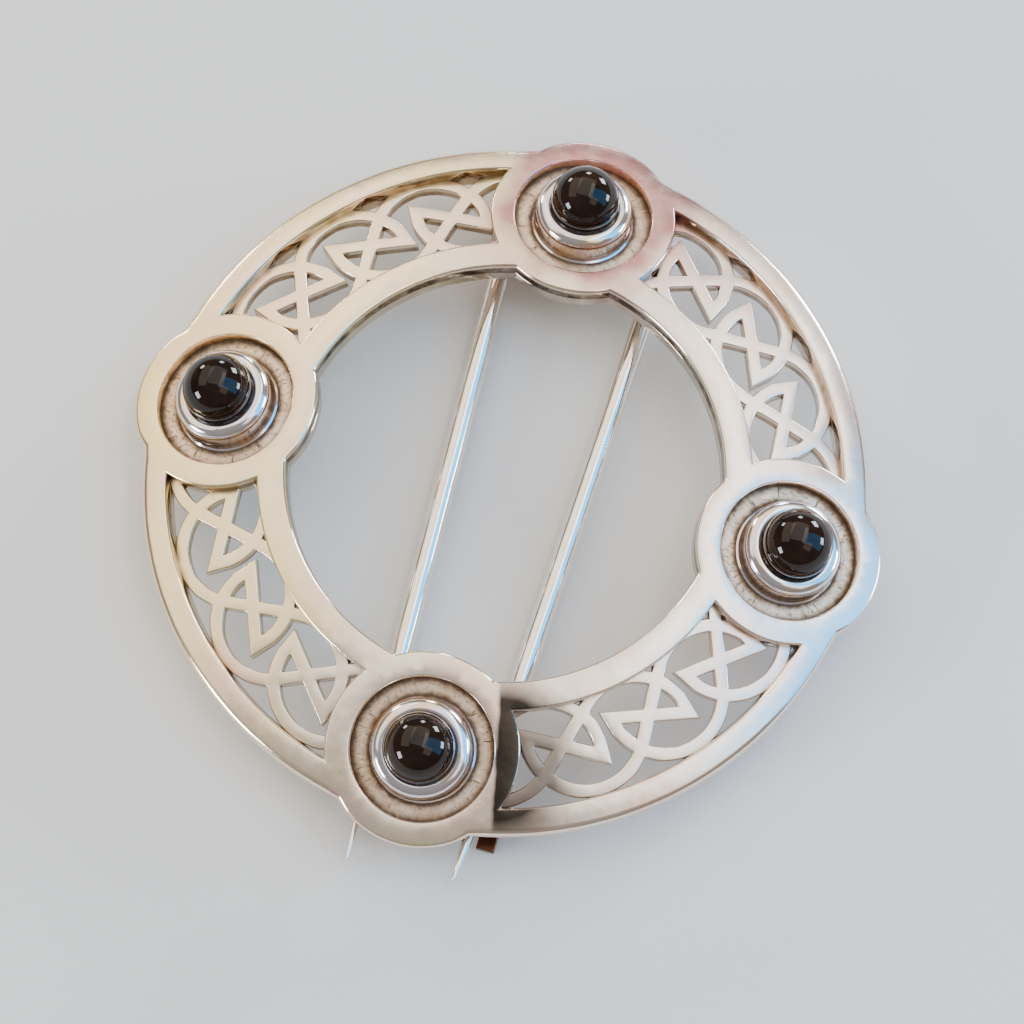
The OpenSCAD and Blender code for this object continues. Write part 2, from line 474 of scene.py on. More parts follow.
def pocket(shape, index):
    """Sunk floor of a setting. Returns its edge on the face."""
    frame_at = SETTINGS[index]
    top = face_drop(FLOOR_R + POCKET_EDGE)
    rows = []
    for inward, down in quarter_round(POCKET_ROUNDS):
        rows.append((FLOOR_R + POCKET_EDGE * inward, top - POCKET_EDGE * down, SILVER))
    rows.append((FLOOR_R, -FLOOR_DROP + POCKET_FILLET, SILVER))
    rows.append((FLOOR_R - POCKET_FILLET / 4, -FLOOR_DROP + POCKET_FILLET / 3, FLOOR))
    rows.append((FLOOR_R - POCKET_FILLET, -FLOOR_DROP, FLOOR))
    rows += [(r, -FLOOR_DROP, FLOOR) for r in FLOOR_RINGS]
    count = 2 * steps(pi * FLOOR_R, ARC_STEP)
    rings = []
    flats = []
    for r, height, mat in rows:
        points = ring_round(frame_at, r, height, count, -1)
        rings.append(shape.add(points))
        flats.append([to_flat(p) for p in points])
    for upper, lower, row in zip(rings, rings[1:], rows[1:]):
        shape.band(upper, lower, row[2])
    middle = shape.add([frame_at @ Vector((0, 0, -FLOOR_DROP))])[0]
    for i in range(count):
        shape.face((rings[-1][i], middle, rings[-1][(i + 1) % count]), FLOOR)
    return rings[0], flats[0]


def plate():
    """Domed ring with its settings, windows and sunk floors."""
    shape = Shape()
    outlines = [outer_outline(), with_edge(hole_outline(), HOLE_EDGE)]
    outlines += [with_edge(window_outline(i), WINDOW_EDGE) for i in range(4)]
    tops, bottoms = walls(shape, outlines, on_dome, RING_T, LOW_EDGE, SILVER, SEAM_DEPTH)
    tops += [pocket(shape, i) for i in range(4)]
    cap(shape, tops, on_dome, 0, CAP_STEP, SILVER, True)
    cap(shape, bottoms, on_dome, RING_T, CAP_STEP * 2, SILVER, False)
    return shape


def at_crossing(k, place):
    return (place + BAND_R) * cmath.exp(-1j * k * UNIT_STEP)


def across(k, place):
    """Point in the frame of the strand that runs across the band at crossing k."""
    return at_crossing(k, place * cmath.exp(-1j * ACROSS_LEAN))


def corner(k, middle, radius, side):
    """Where the diagonal of unit k meets the middle line of a loop."""
    start = at_crossing(k, 0)
    ray = (at_crossing(k, cmath.exp(1j * ALONG_LEAN)) - start) * side
    gap = middle - start
    along = (gap * ray.conjugate()).real
    return start + ray * (along + sqrt(along ** 2 - abs(gap) ** 2 + radius ** 2))


def loop_points(middle, radius, start, end):
    """Points clockwise round a loop, with a straight bit before its sharp corner."""
    first = cmath.phase(start - middle)
    turn = (first - cmath.phase(end - middle)) % (2 * pi)
    bare = LOOP_STRAIGHT / radius
    count = steps((turn - bare) * radius, LOOP_STEP)
    angles = [first - (turn - bare) * i / count for i in range(count + 1)]
    return [middle + radius * cmath.exp(1j * a) for a in angles] + [end]


def outer_part(k):
    middle = across(k - 1, OUTER_RUN - 1j * OUTER_LOOP_R)
    end = corner(k, middle, OUTER_LOOP_R, -1)
    return loop_points(middle, OUTER_LOOP_R, across(k - 1, OUTER_RUN), end)


def inner_part(k):
    middle = across(k + 1, -INNER_RUN + 1j * INNER_LOOP_R)
    end = corner(k, middle, INNER_LOOP_R, 1)
    return loop_points(middle, INNER_LOOP_R, across(k + 1, -INNER_RUN), end)[::-1]


def straight_part(k):
    """Inside of the strand across the band, between its two half loops."""
    length = INNER_RUN + OUTER_RUN
    return [across(k, -INNER_RUN + length * i / STRAIGHT_ROWS) for i in range(1, STRAIGHT_ROWS)]


def panel_frame(index):
    turn = radians(45 + 90 * index)
    return Matrix.Translation((0, KNOT_SHIFT, 0)) @ square_to_dome(turn, CROSS_TILT)


def place_in_panel(index):
    """Function that puts a point of the knot's drawing at a depth below the face."""
    at = panel_frame(index)
    normal = (at.to_3x3() @ Vector((0, 0, 1))).normalized()

    def place(x, y, depth):
        base = at @ Vector((x - BAND_R, y, 0)) - DOME_MIDDLE
        up = base.dot(normal)
        rise = -up + sqrt(up ** 2 - base.length_squared + (DOME_R - depth) ** 2)
        return base + normal * rise + DOME_MIDDLE

    return place


def out_of_settings(index, place, points):
    """Runs of a strand's points that stay out of the sunk floors of two settings."""
    clear = FLOOR_R + STRAND_CLEAR
    sides = [SETTINGS[index % 4].inverted(), SETTINGS[(index + 1) % 4].inverted()]
    runs = [[]]
    for point in points:
        spot = place(point.real, point.imag, SUNK)
        if all(hypot(*(side @ spot)[:2]) > clear for side in sides):
            runs[-1].append(point)
        elif runs[-1]:
            runs.append([])
    return [run for run in runs if len(run) > 2]


def strip(points, seed):
    """Flat quads along points of the drawing, mitred at its corners, and a little
    uneven in width, as metal is that was sawn and filed by hand."""
    lefts, rights = [], []
    last = len(points) - 1
    for i, here in enumerate(points):
        before = here - points[i - 1] if i else points[1] - here
        after = points[i + 1] - here if i < last else before
        uneven = hand_noise.noise(Vector((here.real * UNEVEN_SCALE, here.imag * UNEVEN_SCALE, seed)))
        half = STRAND_W / 2 + STRAND_UNEVEN * uneven
        side = mitre(before, after, STRAND_MITRE) * half
        lefts.append(here + side)
        rights.append(here - side)
    return [(rights[i], rights[i + 1], lefts[i + 1], lefts[i]) for i in range(last)]


def merged(quads):
    """Outlines of flat quads joined into one shape, each with the metal on its left."""
    corners = [Vector((spot.real, spot.imag)) for quad in quads for spot in quad]
    faces = [list(range(first, first + 4)) for first in range(0, len(corners), 4)]
    points, _, triangles, _, _, sources = delaunay_2d_cdt(corners, [], faces, 0, KNOT_MERGE)
    metal = [t for t, source in zip(triangles, sources) if source]
    sides = {(t[i], t[(i + 1) % 3]) for t in metal for i in range(3)}
    following = {a: b for a, b in sorted(sides) if (b, a) not in sides}
    outlines = []
    while following:
        start, here = following.popitem()
        loop = [points[start]]
        while here != start:
            if (points[here] - loop[-1]).length > POINTS_APART:
                loop.append(points[here])
            here = following.pop(here)
        if len(loop) > 4:
            outlines.append([tuple(point) for point in loop])
    return outlines


def knot(index):
    """Knotwork of a panel: two interlaced strands, flush where they cross."""
    at = place_in_panel(index)
    odd = inner_part(-3) + straight_part(-2) + outer_part(-1) + inner_part(-1)
    odd += straight_part(0) + outer_part(1) + inner_part(1) + straight_part(2) + outer_part(3)
    even = inner_part(-2) + straight_part(-1) + outer_part(0) + inner_part(0)
    even += straight_part(1) + outer_part(2)
    quads = []
    for seed, points in enumerate((odd, even)):
        for run in out_of_settings(index, at, points):
            quads += strip(run, 10 * index + seed)

    def place(x, y, depth):
        return at(x, y, SUNK + depth)

    return slab(merged(quads), place, STRAND_T, STRAND_EDGE, STRAND_LOW_EDGE, KNOT_STEP, KNOT)


def lathe(at, rows, count, mat):
    """Turned solid about a frame's z axis, from pairs of radius and height. The
    first and the last row lie on the axis."""
    shape = Shape()
    top = shape.add([at @ Vector((0, 0, rows[0][1]))])[0]
    end = shape.add([at @ Vector((0, 0, rows[-1][1]))])[0]
    rings = [shape.add(ring_round(at, r, height, count)) for r, height in rows[1:-1]]
    for i in range(count):
        j = (i + 1) % count
        shape.face((top, rings[0][i], rings[0][j]), mat)
        shape.face((end, rings[-1][j], rings[-1][i]), mat)
    for ring_a, ring_b in zip(rings, rings[1:]):
        shape.band(ring_a, ring_b, mat)
    return shape


def arc(u, v, radius, start, end, count):
    """Points round an arc about a middle, between two angles in degrees."""
    turns = [radians(start + (end - start) * i / count) for i in range(count + 1)]
    return [(u + radius * cos(t), v + radius * sin(t)) for t in turns]


def setting_floor(index):
    """Frame on a setting's axis, with z = 0 at its sunk floor."""
    return SETTINGS[index] @ Matrix.Translation((0, 0, -FLOOR_DROP))


def collar(index):
    """Collar round a stone: a bowl for the stone inside, a rounded crest, a skirt
    and a flared foot."""
    bowl_r = STONE_R + STONE_GAP
    bowl_base = STONE_BASE - STONE_GAP
    edge_x = COLLAR_R - COLLAR_EDGE
    edge_z = COLLAR_H - COLLAR_EDGE
    lip = arc(edge_x, edge_z, COLLAR_EDGE, LIP_ANGLE, 0, LIP_ROWS)
    reach = degrees(asin((bowl_base - STONE_H) / bowl_r))
    start = degrees(asin((lip[0][1] - BOWL_CLEAR - STONE_H) / bowl_r))
    rows = [(0, bowl_base)] + arc(0, STONE_H, bowl_r, reach, start, BOWL_ROWS) + lip
    rows += [(COLLAR_R, edge_z - COLLAR_STRAIGHT)]
    rows += [(COLLAR_R + out, height) for out, height in COLLAR_SKIRT] + [(0, -COLLAR_SUNK)]
    return lathe(setting_floor(index), rows, COLLAR_SIDES, COLLAR)


def stone(index):
    """High round cabochon with a flat base."""
    reach = degrees(asin((STONE_BASE - STONE_H) / STONE_R))
    rows = arc(0, STONE_H, STONE_R, 90, reach, STONE_ROWS) + [(0, STONE_BASE)]
    return lathe(setting_floor(index), rows, STONE_SIDES, ONLY)


def divided(points):
    """Closed outline with its long edges cut into short ones."""
    fine = []
    for i, (u, v) in enumerate(points):
        next_u, next_v = points[(i + 1) % len(points)]
        count = max(1, round(hypot(next_u - u, next_v - v) / ARC_STEP))
        fine += [(u + (next_u - u) * k / count, v + (next_v - v) * k / count) for k in range(count)]
    return fine


def slab(outlines, place, depth, edge, low_edge, step, mat=SILVER):
    """Slab between two faces, with soft edges, from outlines with metal on the left."""
    shape = Shape()
    edged = [with_edge(divided(points), edge) for points in outlines]
    tops, bottoms = walls(shape, edged, place, depth, low_edge, mat)
    cap(shape, tops, place, 0, step, mat, True)
    cap(shape, bottoms, place, depth, step, mat, False)
    return shape


def under_z(r):
    """Height of the ring's underside at a distance from the axis."""
    return DOME_Z + sqrt((DOME_R - RING_T) ** 2 - r ** 2)


def ear(side):
    """Ear of the hinge, drawn in y and z and laid along x."""
    west_face = PIN_X + side * EAR_X - EAR_T / 2
    half = EAR_W / 2
    top = under_z(CROSS_R) + EAR_BITE
    shoulder = degrees(acos(half / EAR_R))
    outline = arc(ROD_Y, ROD_Z, EAR_R, 180 - shoulder, 360 + shoulder, EAR_ROWS)[:-1]
    outline += [(ROD_Y + half, ROD_Z + EAR_R * sin(radians(shoulder)))]
    outline += [(ROD_Y + half, top), (ROD_Y - half, top)]
    bore = arc(ROD_Y, ROD_Z, ROD_D / 2 + ROD_PLAY, 360, 0, ROD_SIDES)[:-1]

    def place(y, z, depth):
        return Vector((west_face + EAR_T - depth, y, z))

    return slab([outline, bore], place, EAR_T, EAR_EDGE, EAR_EDGE, SLAB_STEP)


def stem_x(y):
    """Half the distance between the stems at a place along them."""
    return STEM_X_TIP + (STEM_X_HINGE - STEM_X_TIP) * (y - TIP_Y) / (ROD_Y - TIP_Y)


def block(low, high, edge):
    """Block of the catch, with soft edges."""
    outline = [(low[0], low[1]), (high[0], low[1]), (high[0], high[1]), (low[0], high[1])]

    def place(x, y, depth):
        return Vector((x, y, high[2] - depth))

    return slab([outline], place, high[2] - low[2], edge, edge, SLAB_STEP, CATCH)


def catch_leg(side):
    """Leg of the catch beside one stem, and its foot."""
    share = (TAPER_Y - CATCH_Y) / (TAPER_Y - POINT_Y)
    stem_r = (STEM_D + (CATCH_STEM_D - STEM_D) * share) / 2
    foot_x = PIN_X + side * stem_x(CATCH_Y) + stem_r + FOOT_PLAY
    leg_x = foot_x + FOOT_W - LEG_T
    leg_low = (leg_x + LEG_HAIR, CATCH_Y - LEG_L, LEG_LIFT)
    leg_high = (leg_x + LEG_T - LEG_HAIR, CATCH_Y - LEG_HAIR, under_z(LEG_TOP_R) + LEG_BITE)
    foot_low = (foot_x, CATCH_Y - FOOT_L, 0)
    foot_high = (foot_x + FOOT_W, CATCH_Y, FOOT_T)
    return [block(leg_low, leg_high, LEG_EDGE), block(foot_low, foot_high, FOOT_EDGE)]


def union(base, others):
    """Joins closed pieces to the first one, and removes them."""
    for other in others:
        modifier = base.modifiers.new("join", "BOOLEAN")
        modifier.operation = "UNION"
        modifier.solver = "MANIFOLD"
        modifier.object = other
    graph = bpy.context.evaluated_depsgraph_get()
    mesh = bpy.data.meshes.new_from_object(base.evaluated_get(graph))
    base.modifiers.clear()
    old = base.data
    base.data = mesh
    bpy.data.meshes.remove(old)
    for other in others:
        data = other.data
        bpy.data.objects.remove(other)
        bpy.data.meshes.remove(data)
    return base


def taper(start, end, count):
    """Rows of a lathe from one pair of radius and height, left out, to another."""
    shares = [i / count for i in range(1, count + 1)]
    return [tuple(a + (b - a) * share for a, b in zip(start, end)) for share in shares]


def stem(side):
    """Tapered stem with a rounded point, from the cross rod."""
    lean = side * atan((STEM_X_HINGE - STEM_X_TIP) / (ROD_Y - TIP_Y))
    at = (
        Matrix.Translation((PIN_X + side * STEM_X_HINGE, ROD_Y, ROD_Z))
        @ Matrix.Rotation(-lean, 4, "Z")
        @ Matrix.Rotation(QUARTER, 4, "X")
    )
    length = ROD_Y - TIP_Y - (EAST_SHORT if side > 0 else 0)
    tip_r = TIP_D / 2
    rows = [(0, 0), (STEM_D / 2, 0), (STEM_D / 2, STEM_START)]
    rows += taper((STEM_D / 2, STEM_START), (STEM_D / 2, ROD_Y - TAPER_Y), STEM_ROWS)
    rows += taper((STEM_D / 2, ROD_Y - TAPER_Y), (CATCH_STEM_D / 2, ROD_Y - POINT_Y), STEM_ROWS)
    rows += taper((CATCH_STEM_D / 2, ROD_Y - POINT_Y), (tip_r, length - tip_r), POINT_ROWS)
    rows += arc(0, length - tip_r, tip_r, TIP_ANGLE, 90, TIP_ROWS)[:-1] + [(0, length)]
    return lathe(at, rows[::-1], STEM_SIDES, ONLY)


def rod_part(x_low, x_high, radius, edge):
    """Round bar along x with soft ends."""
    at = Matrix.Translation((x_low, ROD_Y, ROD_Z)) @ Matrix.Rotation(QUARTER, 4, "Y")
    length = x_high - x_low
    rows = [(0, length)] + arc(radius - edge, length - edge, edge, 90, 0, ROD_ROUNDS)
    rows += [(radius, length * k / ROD_ROWS) for k in range(ROD_ROWS - 1, 0, -1)]
    rows += arc(radius - edge, edge, edge, 0, -90, ROD_ROUNDS) + [(0, 0)]
    return lathe(at, rows, ROD_SIDES, ONLY)


def double_pin(materials):
    rod = rod_part(PIN_X - STEM_X_HINGE, PIN_X + STEM_X_HINGE, ROD_D / 2, ROD_EDGE)
    bar = rod.build("double_pin_bar", materials)
    parts = []
    for side in (-1, 1):
        middle = PIN_X + side * STEM_X_HINGE
        knuckle = rod_part(middle - KNUCKLE_W / 2, middle + KNUCKLE_W / 2, KNUCKLE_R, KNUCKLE_EDGE)
        parts.append(knuckle.build("knuckle", materials))
        parts.append(stem(side).build("stem", materials))
    return union(bar, parts)


def soft_shading(piece, angle):
    """Smooth faces, with a crease where two of them meet at more than an angle."""
    mesh = piece.data
    mesh.polygons.foreach_set("use_smooth", [True] * len(mesh.polygons))
    mesh.set_sharp_from_angle(angle=radians(angle))


def new_material(name):
    material = bpy.data.materials.new(name)
    material.use_nodes = True
    return material, next(n for n in material.node_tree.nodes if n.type == "BSDF_PRINCIPLED")


def new_node(near, kind):
    """Node in the same tree as another node or one of its sockets."""
    return near.id_data.nodes.new("ShaderNode" + kind)


def put(node, name, value):
    """Sets an input of a node, or links it where the value comes from a node."""
    if isinstance(value, bpy.types.NodeSocket):
        node.id_data.links.new(value, node.inputs[name])
    else:
        node.inputs[name].default_value = value


def cloud(where, scale, detail, roughness=0.5):
    """Cloudy noise between 0 and 1."""
    node = new_node(where, "TexNoise")
    put(node, "Scale", scale)
    put(node, "Detail", detail)
    put(node, "Roughness", roughness)
    put(node, "Vector", where)
    return node.outputs["Fac"]


def remap(value, ramp):
    """Runs a value through a ramp: two values of it, and the results at the two."""
    node = new_node(value, "MapRange")
    put(node, "Value", value)
    for name, number in zip(("From Min", "From Max", "To Min", "To Max"), ramp):
        put(node, name, number)
    return node.outputs["Result"]


def clouds(where, kind):
    """Cloudy noise of one kind, run through its ramp."""
    noise = cloud(where, kind.scale, kind.detail, kind.roughness)
    return remap(noise, (kind.low, kind.high, kind.at_low, kind.at_high))


def maths(kind, a, b):
    """Works one value out of two, of which at least one comes from a node."""
    node = new_node(b if isinstance(a, float) else a, "Math")
    node.operation = kind
    put(node, 0, a)
    put(node, 1, b)
    return node.outputs[0]


def plus(a, b):
    return maths("ADD", a, b)


def times(a, b):
    return maths("MULTIPLY", a, b)


def highest(a, b):
    return maths("MAXIMUM", a, b)


def vector_maths(kind, vector, other=(0, 0, 0)):
    """Vector node with one fixed vector, for a dot product or a distance."""
    node = new_node(vector, "VectorMath")
    node.operation = kind
    put(node, 0, vector)
    put(node, 1, other)
    return node.outputs["Value"]


# Slots of the mixing node that hold its two colours and their mix
MIX_COLOURS = (6, 7)
MIX_RESULT = 2


def blend(share, *colours):
    """Mix of two colours, or of colours that nodes give."""
    node = new_node(share, "Mix")
    node.data_type = "RGBA"
    put(node, "Factor", share)
    for slot, colour in zip(MIX_COLOURS, colours):
        put(node, slot, (*colour, 1) if isinstance(colour, tuple) else colour)
    return node.outputs[MIX_RESULT]


def object_place(near, stretch=(1, 1, 1), turn=0):
    """Place on the object in millimetres, turned about z and stretched for grain."""
    mapping = new_node(near, "Mapping")
    put(mapping, "Rotation", (0, 0, turn))
    put(mapping, "Scale", [s / MM for s in stretch])
    put(mapping, "Vector", new_node(near, "TexCoord").outputs["Object"])
    return mapping.outputs["Vector"]


def crease(near):
    """1 in a tight corner and 0 in the open."""
    node = new_node(near, "AmbientOcclusion")
    node.samples = CREASE_SAMPLES
    put(node, "Distance", CREASE_REACH * MM)
    return maths("SUBTRACT", 1.0, node.outputs["AO"])


def bump(shader, heights):
    """Adds up pairs of a height value and its depth in millimetres."""
    last = None
    for height, depth in heights:
        node = new_node(shader, "Bump")
        put(node, "Strength", 1.0)
        put(node, "Distance", depth * MM)
        put(node, "Height", height)
        if last:
            put(node, "Normal", last)
        last = node.outputs["Normal"]
    put(shader, "Normal", last)


# Colours of the metal, of what has settled on it, and of painted light, shade and reflections
CLEAN_SILVER = (0.95, 0.84, 0.72)
# Painted tints of warm light in the west and cool light in the east
SILVER_IN_WARM_LIGHT = (0.97, 0.79, 0.41)
ROSE_SILVER = (0.96, 0.66, 0.58)
SILVER_IN_COOL_LIGHT = (0.95, 0.87, 0.82)
ROSE_TARNISH = (0.50, 0.22, 0.21)
PIN_SILVER = (0.94, 0.92, 0.89)
PIN_WARM = (0.92, 0.82, 0.67)
COLLAR_SILVER = (0.78, 0.76, 0.83)
# Painted warm reflection, in clouds on the collars
COLLAR_WARM_REFLECTION = (0.84, 0.68, 0.50)
# Painted dark reflections on the side walls, darker on the walls of the middle hole
WALL_PAINTED_REFLECTION = (0.24, 0.155, 0.08)
HOLE_PAINTED_REFLECTION = (0.055, 0.03, 0.016)
# Painted shade on the catch
CATCH_PAINTED_SHADE = (0.13, 0.05, 0.032)
FLOOR_PALE = (0.93, 0.76, 0.60)
FLOOR_TAN = (0.70, 0.53, 0.38)
# Painted shade in the corners of the sunk floors
FLOOR_PAINTED_SHADE = (0.27, 0.155, 0.075)
PATINA = (0.060, 0.030, 0.013)
# Painted dark reflection beside the south setting
DARK_PAINTED_REFLECTION = (0.022, 0.020, 0.015)

# Colours and shine of the stones and of the studio floor
STONE_BLACK = (0.004, 0.0014, 0.0009)
STONE_BROWN = (0.020, 0.008, 0.004)
STONE_IOR = 1.37
STAGE_GREY = (0.76, 0.75, 0.74)
STAGE_PALE = (0.81, 0.80, 0.79)
STAGE_ROUGH = 0.9

# A finish of the silver: roughness of its face and below it, depth of that face, shares of painted
# dark reflection on its walls and its back, creases where patina starts and is full, level of its
# specks, and share of the painted dark patch
FINISH_COLUMNS = "rough edge_rough face_depth wall_stain under_stain crease_low crease_high specks dark"
Finish = namedtuple("Finish", FINISH_COLUMNS)
FACE_FINISH = Finish(0.27, 0.12, 0.0, 0.95, 0.25, 0.62, 1.0, 0.70, 0.97)
KNOT_FINISH = Finish(0.30, 0.16, SUNK, 0.9, 0.25, 0.75, 1.15, 0.66, 0.75)
COLLAR_FINISH = Finish(0.12, 0.12, 9.0, 0.0, 0.0, 0.60, 1.0, 0.82, 0.0)
PIN_FINISH = Finish(0.10, 0.10, 99.0, 0.0, 0.0, 0.60, 1.05, 0.80, 0.0)
# The catch takes its painted colour all over: painted shade
CATCH_FINISH = Finish(0.32, 0.32, -9.0, 1.0, 3.2, 0.55, 1.0, 0.66, 0.0)

# Kinds of clouds, and the ramp from two values of their noise to two results
Cloud = namedtuple("Cloud", "scale detail roughness low high at_low at_high")
TINT_DRIFT = Cloud(0.09, 3, 0.5, 0.3, 0.7, -12, 12)
ROSE_CLOUDS = Cloud(0.13, 4, 0.5, 0.48, 0.68, 0, 0.7)
BLUSH_DRIFT = Cloud(0.09, 3, 0.5, 0.3, 0.7, -4.2, 4.2)
BLUSH_CLOUDS = Cloud(0.3, 3, 0.5, 0.35, 0.6, 0.6, 1)
PIN_STREAKS = Cloud(0.4, 4, 0.5, 0.45, 0.7, 0, 1)
COLLAR_REFLECTION_CLOUDS = Cloud(0.35, 3, 0.5, 0.45, 0.65, 0, 1)
PATCH_WOBBLE = Cloud(0.35, 2, 0.5, 0.3, 0.7, -0.12, 0.12)
WALL_PAINTED_PATCHES = Cloud(0.6, 3, 0.6, 0.3, 0.65, 0.65, 1.1)
CREASE_WOBBLE = Cloud(1.1, 4, 0.65, 0.3, 0.7, -0.2, 0.2)
FLOOR_WOBBLE = Cloud(1.3, 6, 0.68, 0.3, 0.7, -0.16, 0.16)
FLOOR_STAINS = Cloud(3.6, 6, 0.75, 0.55, 0.66, 0, 0.75)
FLOOR_HAZE = Cloud(0.5, 5, 0.6, 0.35, 0.65, 0, 1)
STONE_BANDS = Cloud(0.35, 5, 0.6, 0.35, 0.7, 0, 1)
STONE_SCUFFS = Cloud(6.0, 4, 0.7, 0.5, 0.8, 0.012, 0.05)

# Noise that is used as it is: scale, detail and roughness
HAIRLINES = (1.0, 3, 0.6)
PITS = (3.4, 4, 0.7)
SWELL = (0.32, 2)
STONE_SWELL = (0.5, 2)
STAGE_HAZE = (0.02, 3)
STAGE_GRAIN = (2.0, 3)

# Ramps along the brooch and below its face, in millimetres, and their results
# Painted warm light towards the west and cool light towards the east
WARM_LIGHT_IN_WEST = (-4, 30, 0, 0.9)
COOL_LIGHT_IN_EAST = (14, 36, 0, 0.9)
NEAR_NORTH = (8, 12, 0.95, 0)
BLUSH_IN_FRONT = (1.3, 2.2, 1, 0.15)
PATCH_EDGE = (0.75, 1.1, 0, 1)
PATCH_FADE = (5.0, 7.6, 1, 0)
RIM_LESS_REFLECTION = (30.4, 31.4, 1, 0.3)
HOLE_REFLECTION_RAMP = (19.7, 20.5, 1, 0)
SEAM_FADE = (SEAM_DEPTH - 0.05, SEAM_DEPTH + 0.1, 1, 0.5)
FLOOR_OUTER_RIM = (5.66, 6.08, 0, 0.92)
FLOOR_INNER_RIM = (4.68, 5.0, 0.9, 0)
FLOOR_NEAR_WALL = (5.2, 5.95, 0, 0.7)
FLOOR_NEAR_FOOT = (4.8, 5.4, 0.65, 0)

# Directions across the brooch, and the middle of its painted dark patch in millimetres
EAST = (0.94, 0.34, 0)
WEST = (-1, 0, 0)
PATCH_ACROSS = (0.977, 0.21, 0)
PATCH_MIDDLE = (6.4, -24.7, 0)

# Depths below a face where its walls take the painted dark reflection, its painted dark patch ends and
# its roughness changes, depths where the back begins, and share of the painted dark patch below the
# face
WALL_FROM, WALL_TO = 0.22, 0.5
PATCH_FROM, PATCH_TO = 0.02, 0.1
ROUGH_FROM, ROUGH_TO = 0.012, 0.05
BACK_FROM, BACK_TO = RING_T - 0.2, RING_T - 0.05
PATCH_BELOW = 0.15

# Softness and share of a speck, and ramps of dirt, hairlines and rays to what they do
SPECK_SOFT = 0.06
SPECK_SHARE = 0.6
DIRT_METALLIC = (0, 1, 1, 0.45)
DIRT_DULL = (0, 1, 0, 0.35)
HAIR_ROUGHNESS = (0.3, 0.7, -0.006, 0.01)
FLOOR_METALLIC = (0, 1, 1, 0.4)
FLOOR_DULL = (0, 1, 0, 0.25)
FLOOR_ROUGHNESS = (0.3, 0.7, 0.33, 0.46)
FLOOR_CRACKS = (0.63, 0.68, 0, 0.85)

# Grain of the scratches, of the rays on a floor and of the stones, places seen from above, and
# reach of a crease
SCRATCH_TURN = radians(28)
SCRATCH_STRETCH = (0.35, 11, 4)
RAYS_ROUND = 25.0
RAYS_OUT = 0.5
STONE_STRETCH = (1, 1, 2.5)
FLAT = (1, 1, 0)
CREASE_REACH = 0.9
CREASE_SAMPLES = 3

# Depths of the fine relief, in millimetres
SWELL_DEPTH = 0.06
HAIR_DEPTH = 0.0005
DIRT_DEPTH = 0.015
FLOOR_HAZE_DEPTH = 0.03
FLOOR_RAY_DEPTH = 0.02
FLOOR_DIRT_DEPTH = 0.02
STONE_SWELL_DEPTH = 0.01
STAGE_GRAIN_DEPTH = 0.02


def tarnish_and_painted_light_tint(place):
    """Silver with a painted tint of warm light towards the west of the brooch and of cool light
    towards its east, and rosy in clouds."""
    drift = clouds(place, TINT_DRIFT)
    # Painted warm light to the west and cool light to the east
    west = vector_maths("DOT_PRODUCT", place, WEST)
    warm_light_share = remap(plus(west, drift), WARM_LIGHT_IN_WEST)
    east = vector_maths("DOT_PRODUCT", place, EAST)
    cool_light_share = remap(plus(east, drift), COOL_LIGHT_IN_EAST)
    tint = blend(warm_light_share, CLEAN_SILVER, SILVER_IN_WARM_LIGHT)
    tint = blend(cool_light_share, tint, SILVER_IN_COOL_LIGHT)
    return blend(clouds(place, ROSE_CLOUDS), tint, ROSE_SILVER)


def pin_tint(place):
    """Brighter silver of the pin, with faint warm streaks."""
    return blend(clouds(place, PIN_STREAKS), PIN_SILVER, PIN_WARM)


def collar_tint_and_painted_reflection(place):
    """Bluish silver of the collars, with clouds of painted warm reflection."""
    return blend(clouds(place, COLLAR_REFLECTION_CLOUDS), COLLAR_SILVER, COLLAR_WARM_REFLECTION)


def north_blush(place, depth):
    """Share of the rosy tarnish round the north setting, weak on the back."""
    north = vector_maths("DISTANCE", place, SETTINGS[1].translation)
    near = remap(plus(north, clouds(place, BLUSH_DRIFT)), NEAR_NORTH)
    cloudy = clouds(place, BLUSH_CLOUDS)
    return times(times(near, cloudy), remap(depth, BLUSH_IN_FRONT))


def painted_dark_reflection(place):
    """Share of the painted dark reflection beside the south setting, which has a straight edge
    on its west."""
    across = vector_maths("DOT_PRODUCT", place, PATCH_ACROSS)
    uneven = clouds(place, PATCH_WOBBLE)
    edge = remap(plus(across, uneven), PATCH_EDGE)
    spread = vector_maths("DISTANCE", object_place(place, FLAT), PATCH_MIDDLE)
    return times(edge, remap(plus(spread, uneven), PATCH_FADE))


def painted_wall_share(place, out, depth, finish):
    """Share of the painted dark reflection on the side walls, with a strength of its own on the back,
    and less at the ring's rim."""
    face = finish.face_depth
    walls = remap(depth, (face + WALL_FROM, face + WALL_TO, 0, finish.wall_stain))
    if face < SUNK:
        walls = times(walls, remap(depth, SEAM_FADE))
    under = remap(depth, (BACK_FROM, BACK_TO, 1, finish.under_stain))
    walls = times(walls, under)
    walls = times(walls, clouds(place, WALL_PAINTED_PATCHES))
    if face >= 0:
        walls = times(walls, remap(out, RIM_LESS_REFLECTION))
    return walls


def dirt_share(place, finish):
    """Share of the patina, in tight corners and in specks."""
    corner_share = plus(crease(place), clouds(place, CREASE_WOBBLE))
    dirt = remap(corner_share, (finish.crease_low, finish.crease_high, 0, 1))
    level = (finish.specks, finish.specks + SPECK_SOFT, 0, SPECK_SHARE)
    return highest(dirt, remap(cloud(place, *PITS), level))


